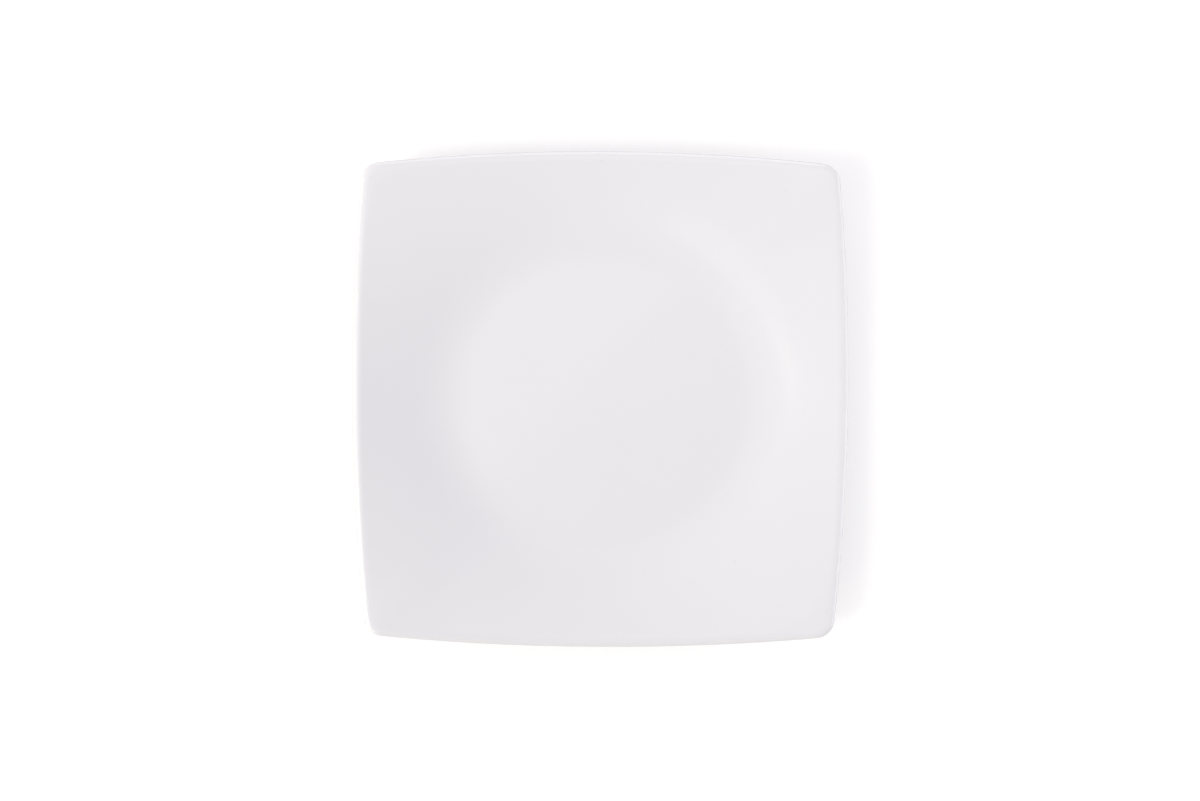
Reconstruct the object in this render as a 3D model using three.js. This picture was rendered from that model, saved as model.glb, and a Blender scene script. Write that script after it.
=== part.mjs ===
// A square dessert plate of white porcelain, in the pieces that it is made of: the fired clay body with
// its foot ring, the glaze over the eating surface, lip and underside, and the glaze inside the foot.
// Millimetres, +Z up. The origin is on the table, under the middle of the plate.
import * as THREE from "three";

// Outline seen from above: a square with bowed sides and round corners
const SIDE = 200;
const SIDE_BOW_RADIUS = 880;
const CORNER_RADIUS = 12;

// Eating surface: a flat round floor, a smooth blend and a rim that rises further at the corners
const FLOOR_RADIUS = 51;
const BLEND_RUN = 26.5;
const SHOULDER_SLOPE = 0.256; // rise over run where the blend ends
const SIDE_HEIGHT = 15;
const CORNER_HEIGHT = 19.5;

// Walls, glaze included. The lip is half an oval in section, as thick as the rim and as long as its run
const FLOOR_WALL = 4.2;
const RIM_WALL = 3.4;
const LIP_RUN = 3;

// Foot ring under the well
const FOOT_HEIGHT = 2.4;
const FOOT_RADIUS = 56;
const FOOT_LAND = 2.2;
const FOOT_EDGE_RADIUS = 0.8;
const FOOT_FILLET = 1.2;
const FILLET_LIMIT = 0.9; // the most of the foot's side that its fillet may take up
const FOOT_DRAFT = THREE.MathUtils.degToRad(14);

// Glaze, wiped off the rounded edge that the plate stands on
const GLAZE = 0.3;

// Facets along each stretch
const SIDE_STEPS = 16;
const CORNER_STEPS = 4;
const BLEND_STEPS = 5;
const RIM_STEPS = 3;
const LIP_HALF_STEPS = 3;
const UNDERSIDE_STEPS = 4;
const FILLET_STEPS = 2;
const EDGE_STEPS = 3;

// What follows from those sizes
const QUARTER = Math.PI / 2;
const floorTop = FOOT_HEIGHT + FLOOR_WALL;
const shoulderRadius = FLOOR_RADIUS + BLEND_RUN;
const lipRise = RIM_WALL / 2;
const lipStretch = LIP_RUN / lipRise;

// The outline's arcs run into one another, so each point of it is an edge point and the way it faces.
function sampleOutline() {
  const sideCentre = SIDE / 2 - SIDE_BOW_RADIUS;
  const centreGap = SIDE_BOW_RADIUS - CORNER_RADIUS;
  const cornerCentre = (sideCentre + Math.sqrt(2 * centreGap ** 2 - sideCentre ** 2)) / 2;
  const sideEnd = Math.atan2(cornerCentre, cornerCentre - sideCentre);
  const side = {
    centre: new THREE.Vector2(sideCentre, 0),
    radius: SIDE_BOW_RADIUS,
    from: -sideEnd,
    to: sideEnd,
    steps: SIDE_STEPS,
  };
  const corner = {
    centre: new THREE.Vector2(cornerCentre, cornerCentre),
    radius: CORNER_RADIUS,
    from: sideEnd,
    to: QUARTER - sideEnd,
    steps: CORNER_STEPS,
  };
  const middle = new THREE.Vector2(0, 0);
  const samples = [];
  for (let quarter = 0; quarter < 4; quarter++) {
    for (const arc of [side, corner]) {
      for (let step = 0; step < arc.steps; step++) {
        const angle = THREE.MathUtils.lerp(arc.from, arc.to, step / arc.steps);
        const facing = new THREE.Vector2(Math.cos(angle), Math.sin(angle));
        const edge = arc.centre.clone().addScaledVector(facing, arc.radius);
        facing.rotateAround(middle, quarter * QUARTER);
        edge.rotateAround(middle, quarter * QUARTER);
        samples.push({ edge, facing });
      }
    }
  }
  return samples;
}

// A spoke runs from the middle of the plate to the centre of the lip's oval, beside one outline point.
function makeSpoke({ edge, facing }) {
  const lipCentre = edge.clone().addScaledVector(facing, -LIP_RUN);
  const reach = lipCentre.length();
  const along = lipCentre.clone().divideScalar(reach);
  return { lipCentre, facing, reach, along };
}

const spokes = sampleOutline().map(makeSpoke);
const sideReach = Math.min(...spokes.map((spoke) => spoke.reach));
const cornerReach = Math.max(...spokes.map((spoke) => spoke.reach));

// Height and slope of the eating surface at a distance from the middle. The rim leaves the blend at one
// slope all round and eases off towards the lip, a little at the sides and most at the corners.
function eatingSurface(radius, reach) {
  const cornerShare = (reach - sideReach) / (cornerReach - sideReach);
  const lipHeight = THREE.MathUtils.lerp(SIDE_HEIGHT, CORNER_HEIGHT, cornerShare);
  const span = reach - shoulderRadius;
  const straightHeight = floorTop + SHOULDER_SLOPE * (BLEND_RUN / 2 + span);
  const easing = (straightHeight - lipHeight) / span ** 2;
  const blend = THREE.MathUtils.clamp((radius - FLOOR_RADIUS) / BLEND_RUN, 0, 1);
  const run = Math.max(radius - shoulderRadius, 0);
  const blendRise = SHOULDER_SLOPE * BLEND_RUN * (blend ** 3 - blend ** 4 / 2);
  const rimRise = SHOULDER_SLOPE * run - easing * run ** 2;
  const slope = SHOULDER_SLOPE * blend ** 2 * (3 - 2 * blend) - 2 * easing * run;
  return { height: floorTop + blendRise + rimRise, slope };
}

// The underside follows the eating surface one wall below it, and runs into the lower end of the lip.
function undersideHeight(radius, reach) {
  const { height, slope } = eatingSurface(radius, reach);
  const share = THREE.MathUtils.smoothstep(radius, FLOOR_RADIUS, shoulderRadius);
  const wall = THREE.MathUtils.lerp(FLOOR_WALL, RIM_WALL, share);
  return height - wall * Math.hypot(1, slope * lipStretch);
}

// One side of the foot ring, outer (+1) or inner (-1), as radius and height. It goes from the surface
// above, round a fillet and down the drafted side to the line where the glaze is wiped off.
function footSide(sign) {
  const lean = Math.tan(FOOT_DRAFT);
  const wiped = footEdge(sign, FOOT_DRAFT, FOOT_EDGE_RADIUS + GLAZE);
  const far = wiped.x + sign * (FOOT_HEIGHT * lean + FOOT_FILLET);
  const farHeight = sign > 0 ? undersideHeight(far, sideReach) : FOOT_HEIGHT;
  const corner = new THREE.Vector2(wiped.x + sign * lean * (farHeight - wiped.y), farHeight);
  const filletShare = Math.min(FOOT_FILLET / wiped.distanceTo(corner), FILLET_LIMIT);
  const sideTop = corner.clone().lerp(wiped, filletShare);
  const fillet = new THREE.QuadraticBezierCurve(new THREE.Vector2(far, farHeight), corner, sideTop);
  return [...fillet.getPoints(FILLET_STEPS), wiped];
}

// A point on the foot's rounded lower edge, at an angle below level and a distance from its centre.
function footEdge(sign, angle, distance = FOOT_EDGE_RADIUS) {
  const radius = FOOT_RADIUS + sign * (FOOT_LAND / 2 + distance * Math.cos(angle));
  return new THREE.Vector2(radius, FOOT_EDGE_RADIUS - distance * Math.sin(angle));
}

// The bare edge of the foot: down round the outside, across the flat land and up round the inside.
function bareFoot() {
  const points = [];
  for (let step = 1; step <= EDGE_STEPS; step++) {
    points.push(footEdge(+1, THREE.MathUtils.lerp(FOOT_DRAFT, QUARTER, step / EDGE_STEPS)));
  }
  for (let step = EDGE_STEPS; step >= 1; step--) {
    points.push(footEdge(-1, THREE.MathUtils.lerp(FOOT_DRAFT, QUARTER, step / EDGE_STEPS)));
  }
  return points;
}

// A round ring of points, one on each spoke.
function roundRing({ x: radius, y: height }) {
  return spokes.map(({ along }) => new THREE.Vector3(along.x * radius, along.y * radius, height));
}

// A ring on the eating surface or the underside, at a share of the way from a radius to the lip.
function rimRing(innerRadius, share, heightAt) {
  return spokes.map(({ along, reach }) => {
    const radius = THREE.MathUtils.lerp(innerRadius, reach, share);
    return new THREE.Vector3(along.x * radius, along.y * radius, heightAt(radius, reach));
  });
}

// A ring on the lip. Its oval is met by the rim's slope at both ends: share 1 is where it leaves the
// eating surface, 0 is the plate's outline and -1 is where it meets the underside.
function lipRing(share) {
  return spokes.map(({ lipCentre, facing, reach, along }) => {
    const { height, slope } = eatingSurface(reach, reach);
    const tilt = Math.atan(slope * along.dot(facing) * lipStretch);
    const angle = share * (QUARTER + Math.sign(share) * tilt);
    const point = lipCentre.clone().addScaledVector(facing, LIP_RUN * Math.cos(angle));
    const centreHeight = height - lipRise / Math.cos(tilt);
    return new THREE.Vector3(point.x, point.y, centreHeight + lipRise * Math.sin(angle));
  });
}

// The glazed surface from the middle of the floor, over the lip and down to the foot's wiped line.
function coatRings() {
  const topHeight = (radius, reach) => eatingSurface(radius, reach).height;
  const outerFoot = footSide(+1);
  const rings = [[new THREE.Vector3(0, 0, floorTop)]];
  for (let step = 0; step <= BLEND_STEPS; step++) {
    const radius = FLOOR_RADIUS + (BLEND_RUN * step) / BLEND_STEPS;
    rings.push(rimRing(radius, 0, topHeight));
  }
  for (let step = 1; step < RIM_STEPS; step++) {
    rings.push(rimRing(shoulderRadius, step / RIM_STEPS, topHeight));
  }
  for (let step = LIP_HALF_STEPS; step >= -LIP_HALF_STEPS; step--) {
    rings.push(lipRing(step / LIP_HALF_STEPS));
  }
  for (let step = UNDERSIDE_STEPS - 1; step > 0; step--) {
    rings.push(rimRing(outerFoot[0].x, step / UNDERSIDE_STEPS, undersideHeight));
  }
  return [...rings, ...outerFoot.map(roundRing)];
}

// The glazed surface inside the foot, from its wiped line to the middle of the base.
function baseRings() {
  const innerFoot = footSide(-1).reverse();
  return [...innerFoot.map(roundRing), [new THREE.Vector3(0, 0, FOOT_HEIGHT)]];
}

// Joins rings of points into one surface. A ring of a single point closes it like a pole, and each
// four-sided patch is split along its shorter diagonal, so surfaces that share rings match exactly.
function loft(rings) {
  const points = rings.flat();
  const triangles = [];
  let start = 0;
  for (let i = 0; i + 1 < rings.length; i++) {
    const here = rings[i].length;
    const there = rings[i + 1].length;
    const next = start + here;
    for (let j = 0; j < spokes.length; j++) {
      const a = start + (j % here);
      const b = start + ((j + 1) % here);
      const c = next + (j % there);
      const d = next + ((j + 1) % there);
      if (here === 1) {
        triangles.push(a, c, d);
      } else if (there === 1) {
        triangles.push(a, c, b);
      } else if (points[a].distanceTo(points[d]) < points[b].distanceTo(points[c])) {
        triangles.push(a, c, d, a, d, b);
      } else {
        triangles.push(a, c, b, b, c, d);
      }
    }
    start = next;
  }
  const geometry = new THREE.BufferGeometry().setFromPoints(points);
  geometry.setIndex(triangles);
  geometry.computeVertexNormals();
  return geometry;
}

// The clay's surface lies one glaze thickness under the glazed one.
function underGlaze(rings) {
  const normals = loft(rings).getAttribute("normal");
  let index = 0;
  return rings.map((ring) =>
    ring.map((point) => {
      const normal = new THREE.Vector3().fromBufferAttribute(normals, index);
      index += 1;
      return point.clone().addScaledVector(normal, -GLAZE);
    })
  );
}

function makePiece(name, rings, color, roughness) {
  const material = new THREE.MeshStandardMaterial({ color, roughness, metalness: 0 });
  const piece = new THREE.Mesh(loft(rings), material);
  piece.name = name;
  return piece;
}

const coat = coatRings();
const base = baseRings();
const clayUnderCoat = underGlaze(coat);
const clayUnderBase = underGlaze(base);
const foot = bareFoot().map(roundRing);

const plate = new THREE.Group();
plate.add(makePiece("porcelain_body", [...clayUnderCoat, ...foot, ...clayUnderBase], 0xece7dc, 0.7));
plate.add(makePiece("glaze_coat", [...coat, ...clayUnderCoat.toReversed()], 0xe8e6ea, 0.08));
plate.add(makePiece("base_glaze", [...clayUnderBase.toReversed(), ...base], 0xe8e6ea, 0.1));

export default plate;
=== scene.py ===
import math

import bpy
import numpy as np
from mathutils import Euler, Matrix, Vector


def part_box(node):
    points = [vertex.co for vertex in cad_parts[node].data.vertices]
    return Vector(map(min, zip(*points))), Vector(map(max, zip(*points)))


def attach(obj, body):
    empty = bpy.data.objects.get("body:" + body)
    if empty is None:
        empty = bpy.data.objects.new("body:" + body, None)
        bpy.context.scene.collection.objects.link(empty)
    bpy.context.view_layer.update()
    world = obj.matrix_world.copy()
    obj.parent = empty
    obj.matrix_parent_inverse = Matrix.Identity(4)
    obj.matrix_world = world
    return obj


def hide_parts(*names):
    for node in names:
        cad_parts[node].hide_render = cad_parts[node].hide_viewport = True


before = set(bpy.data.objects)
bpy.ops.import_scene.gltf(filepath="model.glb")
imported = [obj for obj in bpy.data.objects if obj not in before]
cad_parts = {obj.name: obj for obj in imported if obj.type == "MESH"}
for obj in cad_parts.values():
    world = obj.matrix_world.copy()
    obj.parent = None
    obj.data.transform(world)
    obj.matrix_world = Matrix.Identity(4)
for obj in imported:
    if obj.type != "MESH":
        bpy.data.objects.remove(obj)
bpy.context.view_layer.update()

# The plate's sizes, in metres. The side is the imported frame's, and the others repeat the CAD source.
MM = 0.001
coat_low, coat_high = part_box("glaze_coat")
SIDE = coat_high.x - coat_low.x
FLOOR_RADIUS = 51 * MM
BLEND_RUN = 26.5 * MM
SHOULDER_SLOPE = 0.256
SIDE_HEIGHT = 15 * MM
CORNER_HEIGHT = 19.5 * MM
FLOOR_WALL = 4.2 * MM
RIM_WALL = 3.4 * MM
LIP_RUN = 3 * MM
FOOT_HEIGHT = 2.4 * MM
FOOT_RADIUS = 56 * MM
FOOT_LAND = 2.2 * MM
FOOT_EDGE_RADIUS = 0.8 * MM
FOOT_FILLET = 1.2 * MM
FILLET_LIMIT = 0.9
FOOT_DRAFT = math.radians(14)
GLAZE = 0.3 * MM

# The bow of the sides and the corners, a little tighter than the CAD source's, as in the photograph
SIDE_BOW_RADIUS = 780 * MM
CORNER_RADIUS = 8 * MM

# The glaze thins to nothing over this length, in a round bead beside the wiped foot
BEAD_LENGTH = 0.5 * MM

# Faces along each stretch
SIDE_STEPS = 72
CORNER_STEPS = 18
FLOOR_STEPS = 4
BLEND_STEPS = 24
RIM_STEPS = 12
LIP_HALF_STEPS = 12
UNDERSIDE_STEPS = 16
FILLET_STEPS = 6
BEAD_STEPS = 6
EDGE_STEPS = 8

# Colours, linear
GLAZE_COLOUR = (0.826, 0.81, 0.836)
CLOUD_COLOUR = (0.82, 0.807, 0.834)
POOL_COLOUR = (0.8, 0.795, 0.826)
THIN_COLOUR = (0.832, 0.812, 0.815)
SPECK_COLOUR = (0.5, 0.46, 0.42)
CLAY_COLOUR = (0.8, 0.765, 0.69)
CLAY_GRAIN_COLOUR = (0.7, 0.655, 0.575)
SCUFF_COLOUR = (0.42, 0.415, 0.405)
WHITE = (1, 1, 1)

# The glaze. A tint is how much of its colour a mark takes on, and a range is the part of a noise in use.
GLAZE_IOR = 1.5
CLOUD_NOISE = {"Scale": 28, "Detail": 3}
CLOUD_RANGE = (0.35, 0.65)
POOL_TINT = 0.35
THIN_TINT = 0.7
SPECK_TINT = 0.5
SPECK_CELLS = 55
SPECK_RADIUS = 0.22 * MM
SPECK_CORE = 0.6
GLOSS_NOISE = {"Scale": 160, "Detail": 4}
GLOSS_RANGE = (0.3, 0.7)
GLOSS_SMOOTHEST = 0.8
GLOSS_ROUGHEST = 1.3
WAVE_NOISE = {"Scale": 24, "Detail": 1}
WAVE_DEPTH = 0.03 * MM
RIPPLE_NOISE = {"Scale": 300, "Detail": 2}
COAT_FINISH = {"roughness": 0.07, "ripple": 0.008 * MM, "speck_share": 0.05}
BASE_FINISH = {"roughness": 0.1, "ripple": 0.014 * MM, "speck_share": 0.2}

# The bare clay of the foot
CLAY_IOR = 1.45
CLAY_ROUGHNESS = (0.72, 0.92)
GRAIN_NOISE = {"Scale": 2200, "Detail": 4}
GRAIN_COLOUR_RANGE = (0.45, 0.75)
GRAIN_GLOSS_RANGE = (0.3, 0.7)
GRAIN_DEPTH = 0.02 * MM
SCUFF_NOISE = {"Scale": 130, "Detail": 6, "Distortion": 0.6}
SCUFF_RANGE = (0.56, 0.7)
SCUFF_TINT = 0.55

# White table, lifted to white where it is seen directly, and fully so beyond the plate's shadow
TABLE_SIZE = 8.0
TABLE_COLOUR = (0.505, 0.49, 0.49)
TABLE_LIFT = 0.59
SHADOW_REACH = 0.2
WHITE_REACH = 0.4

# Light: windows and skylights on the left, cool light at the top and all round, two cards by the lip
WINDOW_TINT = (1, 1, 0.91)
FILL_TINT = (0.918, 0.907, 1)
AMBIENT = (0.373, 0.368, 0.406)

# Name, azimuth and elevation in degrees, distance, width and height in metres, power in watts, tint
LAMPS = (
    ("key", 200, 47, 2.4, 0.8, 0.8, 19.3, WINDOW_TINT),
    ("window_far", 225, 26, 3.0, 1.6, 1.6, 23, WINDOW_TINT),
    ("window_near", 180, 26, 1.2, 0.7, 0.6, 2.6, WINDOW_TINT),
    ("ceiling", 135, 73, 1.5, 1.0, 1.0, 1.0, WINDOW_TINT),
    ("skylight", 190, 65.5, 1.5, 0.6, 0.26, 0.5, WINDOW_TINT),
    ("skylight_far", 222, 66.4, 1.5, 0.6, 0.26, 0.2, WINDOW_TINT),
    ("fill_top", 90, 25, 1.2, 0.6, 0.6, 1.6, FILL_TINT),
    ("card_right", 0, 13, 0.38, 0.45, 0.17, 0.6, WHITE),
    ("card_top", 90, 13, 0.33, 0.4, 0.15, 0.22, WHITE),
)

# The photograph's camera: lengths in metres, turn in degrees, sensor and lens in millimetres
CAMERA_PLACE = (4.37 * MM, 41.9 * MM, 656.08 * MM)
CAMERA_TURN = (-3.693, 0.393, 0.213)
CAMERA_SENSOR = 36
CAMERA_LENS = 48
CAMERA_CLIP = 0.01

RIGHT_ANGLE = math.pi / 2
QUARTER_TURN = np.array([[0, 1], [-1, 0]])
floor_top = FOOT_HEIGHT + FLOOR_WALL
shoulder_radius = FLOOR_RADIUS + BLEND_RUN
lip_rise = RIM_WALL / 2
lip_stretch = LIP_RUN / lip_rise


def directions(angles):
    return np.stack([np.cos(angles), np.sin(angles)], axis=1)


def sample_outline():
    """Points once round the square outline, and the way that the edge faces at each of them."""
    side_centre = SIDE / 2 - SIDE_BOW_RADIUS
    centre_gap = SIDE_BOW_RADIUS - CORNER_RADIUS
    # The corner's arc touches the arcs of both sides where its centre has this x and this y
    corner_centre = (side_centre + math.sqrt(2 * centre_gap**2 - side_centre**2)) / 2
    side_end = math.atan2(corner_centre, corner_centre - side_centre)
    side = directions(np.linspace(-side_end, side_end, SIDE_STEPS, endpoint=False))
    corner = directions(np.linspace(side_end, RIGHT_ANGLE - side_end, CORNER_STEPS, endpoint=False))
    side_edge = np.array([side_centre, 0]) + SIDE_BOW_RADIUS * side
    corner_edge = np.array([corner_centre, corner_centre]) + CORNER_RADIUS * corner
    edge = np.concatenate([side_edge, corner_edge])
    facing = np.concatenate([side, corner])
    turns = [np.linalg.matrix_power(QUARTER_TURN, quarter) for quarter in range(4)]
    return np.concatenate([edge @ t for t in turns]), np.concatenate([facing @ t for t in turns])


# Spokes from the middle of the plate to the centre of the lip's oval, one for each outline point
outline_edge, outline_facing = sample_outline()
lip_centre = outline_edge - outline_facing * LIP_RUN
reach = np.linalg.norm(lip_centre, axis=1)
along = lip_centre / reach[:, None]
side_reach = reach.min()
corner_reach = reach.max()
SPOKES = len(reach)


def mix(start, end, share):
    return start + (end - start) * share


def smoothstep(value, low, high):
    share = np.clip((value - low) / (high - low), 0, 1)
    return share**2 * (3 - 2 * share)


def eating_surface(radius, spoke_reach):
    """Height and slope at a distance from the middle, on a spoke that reaches so far."""
    corner_share = (spoke_reach - side_reach) / (corner_reach - side_reach)
    lip_height = mix(SIDE_HEIGHT, CORNER_HEIGHT, corner_share)
    span = spoke_reach - shoulder_radius
    straight_height = floor_top + SHOULDER_SLOPE * (BLEND_RUN / 2 + span)
    easing = (straight_height - lip_height) / span**2
    # The slope grows as a smooth step over the blend, and the blend's rise is the area under that step
    blend = np.clip((radius - FLOOR_RADIUS) / BLEND_RUN, 0, 1)
    blend_rise = SHOULDER_SLOPE * BLEND_RUN * (blend**3 - blend**4 / 2)
    run = np.maximum(radius - shoulder_radius, 0)
    rim_rise = SHOULDER_SLOPE * run - easing * run**2
    slope = SHOULDER_SLOPE * smoothstep(radius, FLOOR_RADIUS, shoulder_radius) - 2 * easing * run
    return floor_top + blend_rise + rim_rise, slope


def underside_height(radius, spoke_reach):
    height, slope = eating_surface(radius, spoke_reach)
    wall = mix(FLOOR_WALL, RIM_WALL, smoothstep(radius, FLOOR_RADIUS, shoulder_radius))
    return height - wall * np.hypot(1, slope * lip_stretch)


def ring(radius, height):
    """One point on each spoke, at a radius and a height that may differ from spoke to spoke."""
    flat = along * np.broadcast_to(radius, SPOKES)[:, None]
    return np.column_stack([flat, np.broadcast_to(height, SPOKES)])


def lip_ring(share):
    """A ring on the lip's half oval: 1 is where it leaves the eating surface, -1 the underside."""
    height, slope = eating_surface(reach, reach)
    tilt = np.arctan(slope * np.sum(along * outline_facing, axis=1) * lip_stretch)
    angle = share * (RIGHT_ANGLE + np.sign(share) * tilt)
    flat = lip_centre + outline_facing * (LIP_RUN * np.cos(angle))[:, None]
    centre_height = height - lip_rise / np.cos(tilt)
    return np.column_stack([flat, centre_height + lip_rise * np.sin(angle)])


def foot_edge(sign, angle, distance=FOOT_EDGE_RADIUS):
    """Radius and height of a point on the foot's rounded edge, outer (+1) or inner (-1)."""
    radius = FOOT_RADIUS + sign * (FOOT_LAND / 2 + distance * math.cos(angle))
    return np.array([radius, FOOT_EDGE_RADIUS - distance * math.sin(angle)])


def foot_side(sign):
    """The glazed side of the foot: from the surface above, round the fillet, down to the wiped line."""
    lean = math.tan(FOOT_DRAFT)
    wiped = foot_edge(sign, FOOT_DRAFT, FOOT_EDGE_RADIUS + GLAZE)
    wiped_radius, wiped_height = wiped
    far_radius = wiped_radius + sign * (FOOT_HEIGHT * lean + FOOT_FILLET)
    far_height = underside_height(far_radius, side_reach) if sign > 0 else FOOT_HEIGHT
    far = np.array([far_radius, far_height])
    corner = np.array([wiped_radius + sign * lean * (far_height - wiped_height), far_height])
    fillet_share = min(FOOT_FILLET / np.linalg.norm(wiped - corner), FILLET_LIMIT)
    side_top = mix(corner, wiped, fillet_share)
    shares = np.linspace(0, 1, FILLET_STEPS + 1)
    fillet = [mix(mix(far, corner, s), mix(corner, side_top, s), s) for s in shares]
    return fillet + [wiped]


def glaze_bead(sign):
    """The round end of the glaze, from its full thickness down to the clay at the wiped line."""
    side_top, wiped = foot_side(sign)[-2:]
    down = (wiped - side_top) / np.linalg.norm(wiped - side_top) * BEAD_LENGTH
    inward = foot_edge(sign, FOOT_DRAFT) - wiped
    angles = np.linspace(0, RIGHT_ANGLE, BEAD_STEPS + 1)
    points = [wiped - down * (1 - math.sin(a)) + inward * (1 - math.cos(a)) for a in angles]
    return [ring(*point) for point in points[:-1]]


def bare_foot():
    """The wiped edge of the foot, from the coat's wiped line to the base's."""
    angles = np.linspace(FOOT_DRAFT, RIGHT_ANGLE, EDGE_STEPS + 1)[1:]
    points = [foot_edge(+1, a) for a in angles] + [foot_edge(-1, a) for a in reversed(angles)]
    return [ring(*point) for point in points]


def eating_rings():
    """The eating surface up to the lip, with each ring's share of the glaze that pools in the blend."""
    rings = [ring(r, floor_top) for r in np.linspace(0, FLOOR_RADIUS, FLOOR_STEPS + 1)[1:-1]]
    pools = [0] * len(rings)
    for share in np.linspace(0, 1, BLEND_STEPS + 1):
        radius = FLOOR_RADIUS + BLEND_RUN * share
        rings.append(ring(radius, eating_surface(radius, reach)[0]))
        pools.append(math.sin(math.pi * share) ** 2)
    for share in np.linspace(0, 1, RIM_STEPS + 1)[1:-1]:
        radius = mix(shoulder_radius, reach, share)
        rings.append(ring(radius, eating_surface(radius, reach)[0]))
    return rings, pools


def lip_rings():
    """The lip, with how thin the glaze has run at each ring: 1 where the lip is sharpest."""
    shares = np.linspace(1, -1, 2 * LIP_HALF_STEPS + 1)
    thins = [math.cos(RIGHT_ANGLE * share) ** 2 for share in shares]
    return [lip_ring(share) for share in shares], thins


def underside_rings():
    """The underside, from below the lip to the foot's wiped line."""
    outer_foot = foot_side(+1)
    foot_start = outer_foot[0][0]
    rings = []
    for share in np.linspace(1, 0, UNDERSIDE_STEPS + 1)[1:-1]:
        radius = mix(foot_start, reach, share)
        rings.append(ring(radius, underside_height(radius, reach)))
    return rings + [ring(*point) for point in outer_foot]


def base_rings():
    """The glazed surface inside the foot, from its wiped line towards the middle of the base."""
    inner_foot = foot_side(-1)[::-1]
    foot_end = inner_foot[-1][0]
    rings = [ring(*point) for point in inner_foot]
    for radius in np.linspace(foot_end, 0, FLOOR_STEPS + 1)[1:-1]:
        rings.append(ring(radius, FOOT_HEIGHT))
    return rings


def under_glaze(rings):
    """The clay's surface, one glaze thickness under a glazed one."""
    points = np.array(rings)
    across = np.roll(points, -1, axis=1) - np.roll(points, 1, axis=1)
    normals = np.cross(np.gradient(points, axis=0), across)
    normals /= np.linalg.norm(normals, axis=2, keepdims=True)
    return list(points - normals * GLAZE)


def new_object(name, data):
    thing = bpy.data.objects.new(name, data)
    bpy.context.scene.collection.objects.link(thing)
    return thing


def loft(name, first_height, rings, last_height):
    """Joins rings into a closed mesh object, from a point on the axis at one end to one at the other."""
    spoke = np.arange(SPOKES)
    beside = np.roll(spoke, -1)
    last = (len(rings) - 1) * SPOKES
    first_pole = np.full(SPOKES, len(rings) * SPOKES)
    faces = np.column_stack([first_pole, spoke, beside]).tolist()
    for start in range(0, last, SPOKES):
        there = start + SPOKES
        faces += np.column_stack([start + spoke, there + spoke, there + beside, start + beside]).tolist()
    faces += np.column_stack([last + spoke, first_pole + 1, last + beside]).tolist()
    poles = [(0, 0, first_height), (0, 0, last_height)]
    mesh = bpy.data.meshes.new(name)
    mesh.from_pydata(np.concatenate([*rings, poles]).tolist(), [], faces)
    mesh.shade_smooth()
    return new_object(name, mesh)


def mark_rings(piece, name, values, first_ring=0):
    """Stores one value for each ring from the first one on, for the material to read. The rest are 0."""
    marks = np.zeros(len(piece.data.vertices))
    start = first_ring * SPOKES
    marks[start : start + len(values) * SPOKES] = np.repeat(values, SPOKES)
    piece.data.attributes.new(name, "FLOAT", "POINT").data.foreach_set("value", marks)


def set_inputs(tree, node, inputs):
    """Sets a node's inputs. Each is a plain value, or another node's output to link."""
    for name, value in inputs.items():
        if isinstance(value, bpy.types.NodeSocket):
            tree.links.new(value, node.inputs[name])
        else:
            node.inputs[name].default_value = value


def add_node(tree, kind, inputs=None, **settings):
    node = tree.nodes.new(kind)
    for name, value in settings.items():
        setattr(node, name, value)
    set_inputs(tree, node, inputs or {})
    return node


def object_place(tree):
    return add_node(tree, "ShaderNodeTexCoord").outputs["Object"]


def ring_mark(tree, name):
    return add_node(tree, "ShaderNodeAttribute", attribute_name=name).outputs["Fac"]


def noise(tree, place, settings):
    return add_node(tree, "ShaderNodeTexNoise", {"Vector": place, **settings}).outputs["Fac"]


def spread(tree, value, source, target=(0, 1)):
    """Takes a value from one range to another, and stops at the ends."""
    limits = {"From Min": source[0], "From Max": source[1], "To Min": target[0], "To Max": target[1]}
    return add_node(tree, "ShaderNodeMapRange", {"Value": value, **limits}).outputs["Result"]


def calculate(tree, operation, first, second):
    node = add_node(tree, "ShaderNodeMath", {0: first, 1: second}, operation=operation)
    return node.outputs["Value"]


def opaque(colour):
    """A plain colour with its alpha. A socket stays as it is."""
    return colour if isinstance(colour, bpy.types.NodeSocket) else (*colour, 1)


# Places of the sockets on a node that mixes colours, because some of their names come twice
MIX_FACTOR = 0
MIX_FIRST = 6
MIX_SECOND = 7
MIX_RESULT = 2


def blend_colour(tree, factor, first, second):
    inputs = {MIX_FACTOR: factor, MIX_FIRST: opaque(first), MIX_SECOND: opaque(second)}
    return add_node(tree, "ShaderNodeMix", inputs, data_type="RGBA").outputs[MIX_RESULT]


def bump(tree, height, depth, normal=None):
    """Surface relief. Depth is how far a height of 1 stands out, in metres."""
    inputs = {"Height": height, "Distance": depth, "Strength": 1}
    if normal is not None:
        inputs["Normal"] = normal
    return add_node(tree, "ShaderNodeBump", inputs).outputs["Normal"]


def new_material(name):
    material = bpy.data.materials.new(name)
    material.use_nodes = True
    tree = material.node_tree
    return material, tree, tree.nodes["Principled BSDF"]


def specks(tree, place, share):
    """Tiny round marks: 1 inside a mark, in a given share of the cells that the surface is cut into."""
    cells = {"Vector": place, "Scale": SPECK_CELLS}
    voronoi = add_node(tree, "ShaderNodeTexVoronoi", cells, voronoi_dimensions="2D").outputs
    radius = SPECK_RADIUS * SPECK_CELLS
    mark = spread(tree, voronoi["Distance"], (radius, SPECK_CORE * radius))
    pick = add_node(tree, "ShaderNodeSeparateColor", {"Color": voronoi["Color"]}).outputs["Red"]
    kept = calculate(tree, "LESS_THAN", pick, share)
    return calculate(tree, "MULTIPLY", mark, kept)


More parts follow.
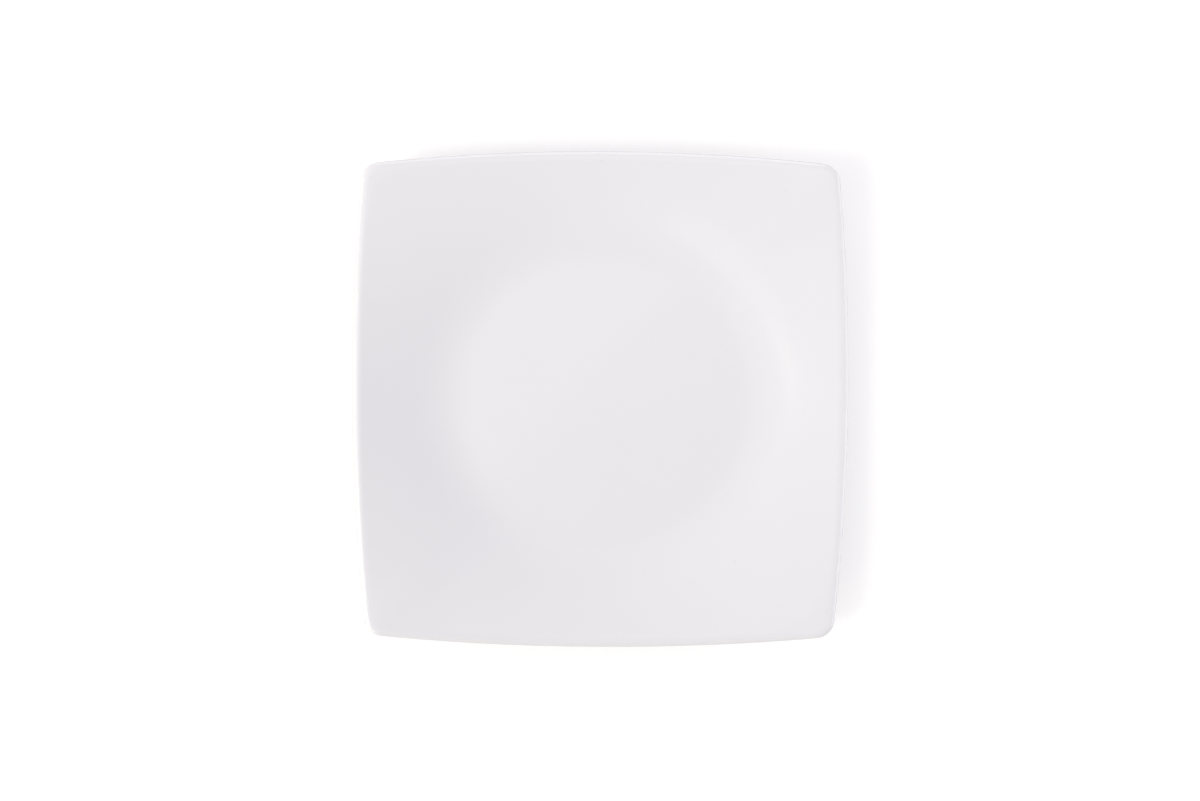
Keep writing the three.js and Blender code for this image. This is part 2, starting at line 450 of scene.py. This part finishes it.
def make_glaze(name, roughness, ripple, speck_share):
    """White glaze: faint clouds, cooler where it pools, warmer where it thins, and a rippled gloss."""
    material, tree, shader = new_material(name)
    place = object_place(tree)
    pool = calculate(tree, "MULTIPLY", ring_mark(tree, "pool"), POOL_TINT)
    thin = calculate(tree, "MULTIPLY", ring_mark(tree, "thin"), THIN_TINT)
    marks = calculate(tree, "MULTIPLY", specks(tree, place, speck_share), SPECK_TINT)
    cloud = spread(tree, noise(tree, place, CLOUD_NOISE), CLOUD_RANGE)
    colour = blend_colour(tree, cloud, GLAZE_COLOUR, CLOUD_COLOUR)
    colour = blend_colour(tree, pool, colour, POOL_COLOUR)
    colour = blend_colour(tree, thin, colour, THIN_COLOUR)
    colour = blend_colour(tree, marks, colour, SPECK_COLOUR)
    gloss_limits = (roughness * GLOSS_SMOOTHEST, roughness * GLOSS_ROUGHEST)
    gloss = spread(tree, noise(tree, place, GLOSS_NOISE), GLOSS_RANGE, gloss_limits)
    waves = bump(tree, noise(tree, place, WAVE_NOISE), WAVE_DEPTH)
    relief = bump(tree, noise(tree, place, RIPPLE_NOISE), ripple, waves)
    set_inputs(tree, shader, {"Base Color": colour, "Roughness": gloss, "IOR": GLAZE_IOR, "Normal": relief})
    return material


def make_clay(name):
    """Bare fired clay: warm, matte and grainy, with grey scuffs from standing on tables."""
    material, tree, shader = new_material(name)
    place = object_place(tree)
    grain = noise(tree, place, GRAIN_NOISE)
    shade = spread(tree, grain, GRAIN_COLOUR_RANGE)
    scuffs = spread(tree, noise(tree, place, SCUFF_NOISE), SCUFF_RANGE, (0, SCUFF_TINT))
    colour = blend_colour(tree, shade, CLAY_COLOUR, CLAY_GRAIN_COLOUR)
    colour = blend_colour(tree, scuffs, colour, SCUFF_COLOUR)
    dull = spread(tree, grain, GRAIN_GLOSS_RANGE, CLAY_ROUGHNESS)
    relief = bump(tree, grain, GRAIN_DEPTH)
    set_inputs(tree, shader, {"Base Color": colour, "Roughness": dull, "IOR": CLAY_IOR, "Normal": relief})
    return material


def seen_directly(tree):
    """1 for rays from the camera and for those that a glossy or clear surface sends on, 0 for the rest."""
    path = add_node(tree, "ShaderNodeLightPath").outputs
    glossy = calculate(tree, "MAXIMUM", path["Is Glossy Ray"], path["Is Transmission Ray"])
    return calculate(tree, "MAXIMUM", path["Is Camera Ray"], glossy)


def make_table():
    half = TABLE_SIZE / 2
    corners = [(-half, -half, 0), (half, -half, 0), (half, half, 0), (-half, half, 0)]
    mesh = bpy.data.meshes.new("table")
    mesh.from_pydata(corners, [], [(0, 1, 2, 3)])
    table = new_object("table", mesh)
    material, tree, shader = new_material("white_table")
    place = object_place(tree)
    length = add_node(tree, "ShaderNodeVectorMath", {0: place}, operation="LENGTH").outputs["Value"]
    level = spread(tree, length, (SHADOW_REACH, WHITE_REACH), (TABLE_LIFT, 1))
    look = {
        "Base Color": opaque(TABLE_COLOUR),
        "Roughness": 1,
        "Specular IOR Level": 0,
        "Emission Color": opaque(WHITE),
        "Emission Strength": calculate(tree, "MULTIPLY", seen_directly(tree), level),
    }
    set_inputs(tree, shader, look)
    mesh.materials.append(material)


def make_world():
    """Even light from all round, which looks white where it is seen directly."""
    world = bpy.data.worlds.new("studio")
    world.use_nodes = True
    tree = world.node_tree
    colour = blend_colour(tree, seen_directly(tree), AMBIENT, WHITE)
    set_inputs(tree, tree.nodes["Background"], {"Color": colour})
    bpy.context.scene.world = world


def add_lamp(name, azimuth, elevation, distance, width, height, power, tint):
    """A soft box aimed at the plate. Azimuth 0 is the photograph's right and 90 its top."""
    turn = math.radians(azimuth)
    rise = math.radians(elevation)
    flat = math.cos(rise)
    place = Vector((math.cos(turn) * flat, math.sin(turn) * flat, math.sin(rise))) * distance
    light = bpy.data.lights.new(name, "AREA")
    light.shape = "RECTANGLE"
    light.size = width
    light.size_y = height
    light.energy = power
    light.color = tint
    lamp = new_object(name, light)
    lamp.location = place
    lamp.rotation_euler = place.to_track_quat("Z", "Y").to_euler()
    lamp.visible_camera = False


def add_camera():
    """The photograph's view: from above, a little towards the top of the picture."""
    data = bpy.data.cameras.new("camera")
    data.sensor_width = CAMERA_SENSOR
    data.lens = CAMERA_LENS
    data.clip_start = CAMERA_CLIP
    camera = new_object("camera", data)
    camera.location = CAMERA_PLACE
    camera.rotation_euler = Euler([math.radians(angle) for angle in CAMERA_TURN])
    bpy.context.scene.camera = camera


# The three pieces, in the places of their CAD nodes
eating, pools = eating_rings()
lip, thins = lip_rings()
coat = [*eating, *lip, *underside_rings()]
base = base_rings()
clay_under_coat = under_glaze(coat)
clay_under_base = under_glaze(base)
clay_top = floor_top - GLAZE
clay_base = FOOT_HEIGHT + GLAZE

coat_shell = [*coat[:-1], *glaze_bead(+1), *clay_under_coat[::-1]]
base_shell = [*clay_under_base[::-1], *glaze_bead(-1)[::-1], *base[1:]]
body_rings = [*clay_under_coat, *bare_foot(), *clay_under_base]

porcelain = loft("plate_body", clay_top, body_rings, clay_base)
glaze = loft("plate_glaze", floor_top, coat_shell, clay_top)
base_glaze = loft("plate_base_glaze", clay_base, base_shell, FOOT_HEIGHT)
mark_rings(glaze, "pool", pools)
mark_rings(glaze, "thin", thins, len(eating))

glaze.data.materials.append(make_glaze("white_glaze", **COAT_FINISH))
base_glaze.data.materials.append(make_glaze("white_base_glaze", **BASE_FINISH))
porcelain.data.materials.append(make_clay("bare_clay"))

for piece, node, slot in (
    (porcelain, "porcelain_body", "porcelain"),
    (glaze, "glaze_coat", "glaze"),
    (base_glaze, "base_glaze", "glaze"),
):
    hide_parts(node)
    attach(piece, "root")

# The table, the light and the camera
make_table()
make_world()
for lamp in LAMPS:
    add_lamp(*lamp)
add_camera()
bpy.context.scene.view_settings.view_transform = "Standard"
